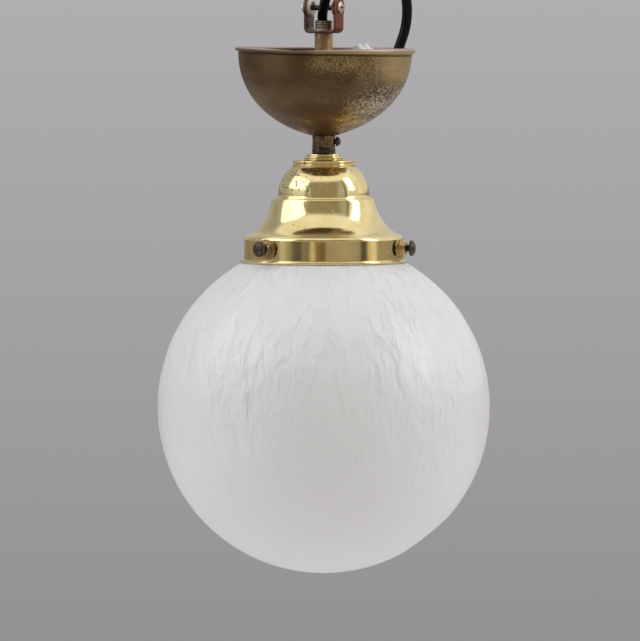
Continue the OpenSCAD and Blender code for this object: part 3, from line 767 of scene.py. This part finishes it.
def make_stem():
    """Tube with a real screw thread on its upper end."""
    r, foot, top = wide("stem"), lowest("stem"), highest("stem")
    thread_foot = top - THREAD_LENGTH
    around = 96
    vertices = []
    for i in range(THREAD_ROWS + 1):
        z = thread_foot + THREAD_LENGTH * i / THREAD_ROWS
        fade = min(1, (z - thread_foot) / THREAD_RUNOUT, (top - z) / 0.15 + 0.55)
        for k in range(around):
            phase = (z / THREAD_PITCH - k / around) % 1
            radius = r - THREAD_DEPTH * fade * abs(2 * phase - 1)
            vertices.append(ring_point(radius, 2 * math.pi * k / around, z) * MM)
    for radius, z in [(STEM_BORE_R, top), (STEM_BORE_R, foot), (r - 0.2, foot), (r, foot + 0.2),
                      (r, thread_foot - 0.05)]:
        vertices += [ring_point(radius, 2 * math.pi * k / around, z) * MM for k in range(around)]
    faces = bands(len(vertices) // around, around, closed=True)
    new_piece("stem_tube", vertices, faces, "frame", "aged_brass", "stem", sharp=60)


# Cup

CUP_SHEET = 1.0
CUP_BORE_R = 5.1
LIP_OUT = 1.8
LIP_HEIGHT = 2.2
DENT_AT = -109            # degrees from +X


def make_cup():
    """Spun bowl with a rolled lip, a shallow dent and a nick in its rim."""
    foot, top, lip_r = lowest("canopy_cup"), highest("canopy_cup"), wide("canopy_cup")
    bowl_r = lip_r - LIP_OUT
    lip_z = top - LIP_HEIGHT
    outer = cubic((7, foot), (34.5, foot + 7.5), (bowl_r, lip_z - 20.1), (bowl_r, lip_z), 40)
    inner = []
    for a, b in zip(outer, outer[1:]):
        middle, along = (Vector(a) + Vector(b)) / 2, (Vector(b) - Vector(a)).normalized()
        inner.append(tuple(middle + CUP_SHEET * Vector((-along.y, along.x))))
    roll = arc((lip_r - LIP_HEIGHT / 2, lip_z + LIP_HEIGHT / 2), LIP_HEIGHT / 2, -70, 90, 8)
    outline = filleted([(CUP_BORE_R, foot, 0.3), *outer, (bowl_r + 0.25, lip_z + 0.1), *roll,
                        (bowl_r - CUP_SHEET, top - 0.2, 0.3), *reversed(inner[2:]),
                        (CUP_BORE_R, foot + CUP_SHEET, 0.3)])
    vertices, faces = turned(outline, 256)
    for v in vertices:
        dent_rim(v, foot * MM, lip_z * MM)
    new_piece("cup_bowl", vertices, faces, "canopy", "mottled_brass", "canopy_cup")


def dent_rim(v, foot_z, rim_z):
    """Leans the bowl to the right, where its lip is taller, and dents its front rim at a nick."""
    angle = math.degrees(math.atan2(v.y, v.x))
    near_rim = max(0.0, 1 - max(0.0, rim_z - v.z) / 0.012)
    dent = 0.7 * math.exp(-((angle - DENT_AT) / 16) ** 2)
    nick = 0.35 * math.exp(-((angle - DENT_AT + 0.5) / 1.4) ** 2)
    wave = 0.1 * math.sin(math.radians(3 * angle + 40))
    height = max(0.0, (v.z - foot_z) / (rim_z - foot_z))
    right = min(1.0, max(0.0, v.x / 0.04))
    v.z += 0.5 * right * max(0.0, v.z - rim_z)
    v.z -= MM * near_rim * (dent + nick + wave)
    v.z += (0.009 * v.y - 0.019 * v.x) * height**2
    v.x += 0.75 * MM * height


# Collar, locknut and stepped cap

ON_STEM_R = 5.05          # bore of what fits on the stem


def make_collar():
    """Slip collar with raised ends, and the domed set screw on its right."""
    foot, top, r = lowest("slip_collar"), highest("slip_collar"), wide("slip_collar")
    turned_piece("collar_ring", [(ON_STEM_R, foot), (r, foot, 0.45), (r, foot + 1.1, 0.1),
                                 (r - 0.25, foot + 1.2), (r - 0.25, top - 1.2),
                                 (r, top - 1.1, 0.1), (r, top, 0.45), (ON_STEM_R, top)],
                 "collar", "aged_brass", "slip_collar", around=96)
    head = [(2.65 * x, 7.1 + 2.4 * y) for x, y in arc((0, 0), 1, 0, 81, 9)]
    turned_piece("set_screw", [(0, 5.1), (1.45, 5.1, 0.1), (1.5, 6.7, 0.1), (2.6, 6.75, 0.1),
                               *head],
                 "collar_screw", "dark_steel", "collar_screw", around=48,
                 axis=outwards(0, (foot + top) / 2))


def make_locknut():
    """Dark locknut and the brass cap under it, which has one step."""
    foot, top, r = lowest("locknut"), highest("locknut"), wide("locknut")
    turned_piece("lock_ring", [(5, foot), (r, foot, 0.7), (r, top, 0.7), (5, top)],
                 "frame", "dark_steel", "locknut", around=96)
    foot, top, r = lowest("gallery_cap"), highest("gallery_cap"), wide("gallery_cap")
    middle = (foot + top) / 2
    turned_piece("stepped_cap", [(ON_STEM_R, foot), (r, foot, 0.6), (r, middle, 0.5),
                                 (r - 1.3, middle + 0.1, 0.3), (r - 1.3, top, 0.8),
                                 (ON_STEM_R, top)],
                 "frame", "polished_brass", "gallery_cap", around=128)


# Gallery

GALLERY_SHEET = 0.9
BAND_R = 44.4
BAND_DOWN = 43            # from the gallery's top to its band
BAND_HEIGHT = 12
BEAD_R = 0.85


def make_gallery():
    """One spun shell: top ring, dome, ledge, flare, band and bead."""
    z = highest("gallery")
    band_end = z - BAND_DOWN - BAND_HEIGHT
    foot = z - BAND_DOWN + 0.9
    ring = [(16.3, z), *arc((16.45, z - 0.75), 0.75, 75, -60, 6), (16.6, z - 1.7, 0.2),
            (17.25, z - 2.2, 0.4), (17.25, z - 2.9)]
    dome = cubic((17.3, z - 3.4), (22.1, z - 6.9), (25.2, z - 12), (25.4, z - 19.6), 28)
    ledge = [(25.6, z - 20.3, 0.3), (26.5, z - 20.3, 0.35), (26.8, z - 21, 0.25),
             (28.2, z - 21.1, 0.8)]
    flare = cubic((28.7, z - 22.4), (30.4, z - 30.6), (BAND_R - 9.4, foot + 3.3),
                  (BAND_R - 1.6, foot + 0.65), 28)
    band = [*arc((BAND_R - 2.87, foot - 1.95), 2.9, 62, 8, 8), (BAND_R - 0.3, foot - 1.75, 0.1),
            (BAND_R - 0.28, foot - 2.4), (BAND_R - 0.17, band_end + 0.6),
            (BAND_R - 0.15, band_end - 0.2, 0.3)]
    bead = arc((BAND_R + 1.25, band_end - 0.9), BEAD_R, 100, -150, 12)
    inner_flare = [(r - GALLERY_SHEET, h - 0.6) for r, h in flare[2:]]
    inner_dome = [(r - GALLERY_SHEET, h) for r, h in dome[2:]]
    inner_r, inner_top = BAND_R - GALLERY_SHEET, z - GALLERY_SHEET
    outline = [(ON_STEM_R, z), *ring, *dome, *ledge, *flare, *band, *bead,
               (inner_r, bead[0][1] - 0.4), (inner_r, band[0][1] - 0.9), *reversed(inner_flare),
               *reversed(inner_dome), (15.5, inner_top), (ON_STEM_R, inner_top)]
    turned_piece("gallery_shell", outline, "frame", "polished_brass", "gallery", around=192)


# Thumbscrews and their bosses

SCREW_TURNS = {"left": -45, "right": 75, "rear": 195}     # degrees to the right of the front
SCREW_LENGTH = 12.6
SCREW_R = 2.0
SCREW_PITCH = 0.7
SCREW_CUTS = 3            # turns of thread that show between the head and the boss
SCREW_Z = -133.0
TIP_R = 39.7              # from the lamp's axis to the screws' tips
BOSS_OUT = 3              # how far a boss stands out from the band


def make_screws():
    """Thumbscrews with domed heads and a cut thread, and their flanged bosses on the band."""
    end = TIP_R + SCREW_LENGTH
    thread = []
    for k in range(SCREW_CUTS):
        h = TIP_R + 7.6 + SCREW_PITCH * k
        thread += [(SCREW_R, h), (SCREW_R - 0.25, h + SCREW_PITCH / 2)]
    screw = [(0, TIP_R), (SCREW_R, TIP_R, 0.3), (SCREW_R, TIP_R + 7.4), *thread,
             (SCREW_R, end - 2.7), (4.4, end - 2.6, 0.35), (4.4, end - 1.7, 0.3),
             (4.25, end - 1.3), (3.8, end - 0.75), (2.9, end - 0.3), (1.6, end - 0.06), (0, end)]
    boss = filleted([(2.05, BAND_R - GALLERY_SHEET), (5.5, BAND_R - GALLERY_SHEET),
                     (5.5, BAND_R + 0.8, 0.4), (4.3, BAND_R + 0.9, 0.2),
                     (4.3, BAND_R + 1.5, 0.3), (3.75, BAND_R + 1.6, 0.2),
                     (3.6, BAND_R + BOSS_OUT, 0.6), (2.05, BAND_R + BOSS_OUT, 0.2)])
    bosses = []
    for side, turn in SCREW_TURNS.items():
        axis = outwards(turn - 90, SCREW_Z)
        turned_piece("screw_" + side, screw, "thumbscrew_" + side, "dark_bronze",
                     "thumbscrew_" + side, around=64, axis=axis)
        bosses.append(turned(boss, 64, axis))
    new_piece("bosses", *joined(bosses), "frame", "aged_brass", "screw_bosses")


# Globe

GLOBE_R = 92.3
GLOBE_SHEET = 3.0
NECK_R = 39.6
LIP_R = 42.0
FADE_BELOW_NECK = 0.012   # metres over which the relief fades out towards the neck
FLAT_DIRECTION = Vector((0.618, 0, -0.786))
FLAT_R = GLOBE_R - 1.4    # from the globe's centre to its flat place
FLAT_BLEND = 0.6          # to each side of FLAT_R


def make_globe():
    """Blown globe with a neck and a lip, its outside in relief and flat low on its right."""
    foot, top = lowest("globe"), highest("globe")
    centre = foot + GLOBE_R
    inner_r, inner_neck_r = GLOBE_R - GLOBE_SHEET, NECK_R - GLOBE_SHEET
    ball = arc((0, centre), GLOBE_R, -90, math.degrees(math.acos(NECK_R / GLOBE_R)), 170)
    ball[0] = (0, foot)
    inner = arc((0, centre), inner_r, math.degrees(math.acos(inner_neck_r / inner_r)), -90, 30)
    inner[-1] = (0, foot + GLOBE_SHEET)
    neck_z = ball[-1][1]
    lip = [(NECK_R, neck_z + 1.2), (NECK_R, top - 2.8), (LIP_R, top - 2.1, 0.5),
           (LIP_R, top, 0.9), (inner_neck_r, top, 0.9)]
    vertices, faces = turned(filleted([*ball, *lip, *inner]), 320)
    for v in vertices:
        press_glass(v, Vector((0, 0, centre * MM)), neck_z * MM)
    glass = new_piece("globe_glass", vertices, faces, "frame", "frosted_glass", "globe", sharp=50)
    with editing(glass.data) as bm:
        bmesh.ops.remove_doubles(bm, verts=bm.verts, dist=WELD)


def press_glass(v, middle, neck_z):
    """Moves a point of the outer surface by the relief of the glass."""
    out = v - middle
    distance = out.length
    if distance < (GLOBE_R - 0.5) * MM or v.z > neck_z:
        return
    out.normalize()
    turn, fall = math.atan2(out.y, out.x), math.acos(out.z)
    broad = noise.noise(out * 4.5)
    folds = noise.noise(Vector((math.cos(turn) * 14, math.sin(turn) * 14, fall * 6)))
    strength = min(1.0, max(0.0, (out.z + 0.75) / 0.7))
    strength *= min(1.0, (neck_z - v.z) / FADE_BELOW_NECK)
    height = (0.25 * broad + 0.2 * folds) * strength
    proud = out.dot(FLAT_DIRECTION) * distance / MM - FLAT_R
    if proud > FLAT_BLEND:
        height -= proud
    elif proud > -FLAT_BLEND:
        height -= (proud + FLAT_BLEND) ** 2 / (4 * FLAT_BLEND)
    v += out * height * MM


# Nodes that keep their own shape

KEPT = {
    "gallery_washer": "aged_brass", "gallery_nut": "aged_brass", "holder_cap": "bakelite",
    "holder_lock_screw": "dark_steel", "holder_sleeve": "bakelite", "holder_insert": "porcelain",
    "screw_shell": "contact_brass", "centre_contact": "contact_brass",
    "side_contact": "contact_brass", "holder_terminals": "contact_brass",
    "stem_flex": "flex_sheath", "live_core": "core_brown", "neutral_core": "core_blue",
    "block_tubes": "contact_brass",
}


def dress_kept_nodes():
    for name, slot in KEPT.items():
        for material_slot in nodes[name].material_slots:
            material_slot.material = finish_of(slot)


# Studio

FLOOR_Z = -0.75
FLOOR_R = 3.0
FLOOR_SHADE = (0.60, 0.595, 0.60)     # as it is seen
FLOOR_BOUNCE = (0.77, 0.76, 0.77)     # as it lights the lamp


def seen_ray(tree):
    """1 for what the camera sees, also in metal or through glass, and 0 for bounced light."""
    seen = [tree.add("ShaderNodeLightPath", "Is %s Ray" % kind)
            for kind in ("Camera", "Glossy", "Transmission")]
    return functools.reduce(lambda a, b: tree.math("MAXIMUM", a, b), seen)


def make_floor():
    mesh = bpy.data.meshes.new("floor")
    ring = [ring_point(FLOOR_R, math.radians(a), FLOOR_Z) for a in range(0, 360, 5)]
    mesh.from_pydata(ring, [], [tuple(range(len(ring)))])
    floor = bpy.data.objects.new("floor", mesh)
    bpy.context.collection.objects.link(floor)
    s = Shader("floor", Roughness=0.7)
    s.set("Base Color", s.mix(seen_ray(s), FLOOR_BOUNCE, FLOOR_SHADE))
    mesh.materials.append(s.material)


# Shades of the walls by their direction, in degrees from the front towards the right
WALLS = [
    (-180, 0.5), (-125, 0.36), (-100, 0.5), (-76, 0.8), (-50, 0.75), (-47, 0.25), (-43, 0.3),
    (-38, 0.6), (-20, 0.55), (-14, 0.4), (0, 0.48), (20, 0.45), (26, 0.5), (40, 0.48), (55, 0.45),
    (57, 0.12), (61, 0.12), (63, 0.95), (69, 0.8), (73, 0.7), (95, 0.85), (110, 1.0), (125, 0.85),
    (180, 0.55),
]
# Shades of what stands along the walls, up to the height of the lamp's band
SKIRTING = [
    (-180, 0.3), (-140, 0.26), (-110, 0.34), (-90, 0.24), (-68, 0.3), (-66, 0.6), (-57, 0.55),
    (-55, 0.34), (-48, 0.3), (-46, 0.14), (-33, 0.08), (-31, 0.26), (-21, 0.16), (-19, 0.7),
    (-14, 0.6), (-12, (0.25, 0.19, 0.14)), (1, (0.17, 0.11, 0.08)), (4, 0.38), (30, 0.42),
    (54, 0.34), (56, 0.08), (65, 0.08), (67, 0.5), (75, 0.9), (82, 0.8), (84, 0.36), (125, 0.3),
    (180, 0.3),
]
WOOD = (1.0, 0.9, 0.72)               # what the skirting's shades are multiplied by
PANEL = (0.31, 0.28, 0.21)            # a dull brown part of the wall before the lamp
CEILING = (0.98, 0.98, 0.97)
GROUND = (0.76, 0.755, 0.765)
BACKDROP = [(0.0, (0.292, 0.280, 0.290)), (1.0, (0.434, 0.424, 0.438))]

# Soft edges on the backdrop and in the room: the x or z of a direction, or its rise as an angle
BACKDROP_RISE = (-0.088, 0.004)
SKIRTING_TOP = (0.03, 0.08)
CEILING_EDGE = (0.66, 0.74)
GROUND_EDGE = (-0.5, -0.3)
PANEL_SIDE = (0.51, 0.63)
PANEL_TOP = (math.radians(44), math.radians(50))


def make_world():
    """Grey backdrop for the camera, and a plain room of pale walls round the lamp for all else."""
    world = bpy.data.worlds.new("world")
    bpy.context.scene.world = world
    world.use_nodes = True
    n = Nodes(world.node_tree, "Background")
    away = n.add("ShaderNodeTexCoord", "Generated")
    x, y, z = (n.split(away, axis) for axis in range(3))
    towards = n.minus(0.0, y)
    turn = n.rising(n.math("ARCTAN2", x, towards), -math.pi, math.pi)
    rise = n.math("ARCTAN2", z, towards)

    def shades(stops):
        return n.ramp(turn, *[((angle + 180) / 360, shade) for angle, shade in stops])

    panel = n.times(n.falling(n.math("ABSOLUTE", x), *PANEL_SIDE),
                    n.falling(n.math("ABSOLUTE", rise), *PANEL_TOP))
    walls = n.mix(panel, shades(WALLS), PANEL)
    walls = n.mix(n.rising(z, *SKIRTING_TOP), n.scaled(shades(SKIRTING), *WOOD), walls)
    room = n.mix(n.rising(z, *CEILING_EDGE), walls, CEILING)
    room = n.mix(n.falling(z, *GROUND_EDGE), room, GROUND)
    backdrop = n.ramp(n.rising(z, *BACKDROP_RISE), *BACKDROP)
    n.set("Color", n.mix(n.add("ShaderNodeLightPath", "Is Camera Ray"), room, backdrop))


def area_light(name, place, size, watts, colour=(1, 1, 1)):
    """A softbox that faces the lamp and that the camera doesn't see."""
    data = bpy.data.lights.new(name, "AREA")
    data.shape = "RECTANGLE"
    data.size, data.size_y = size
    data.energy = watts
    data.color = colour
    light = bpy.data.objects.new(name, data)
    light.visible_camera = False
    face(light, place)


def make_studio():
    make_floor()
    make_world()
    area_light("softbox_left", (-2.6, -0.6, 1.5), (3.0, 1.7), 25, (0.96, 0.98, 1.0))
    area_light("softbox_right", (2.6, -0.5, 1.4), (0.8, 1.8), 19.5)
    bpy.context.scene.view_settings.view_transform = "Standard"


make_camera()
make_cords()
make_stirrup()
make_stem()
make_cup()
make_collar()
make_locknut()
make_gallery()
make_screws()
make_globe()
dress_kept_nodes()
make_studio()
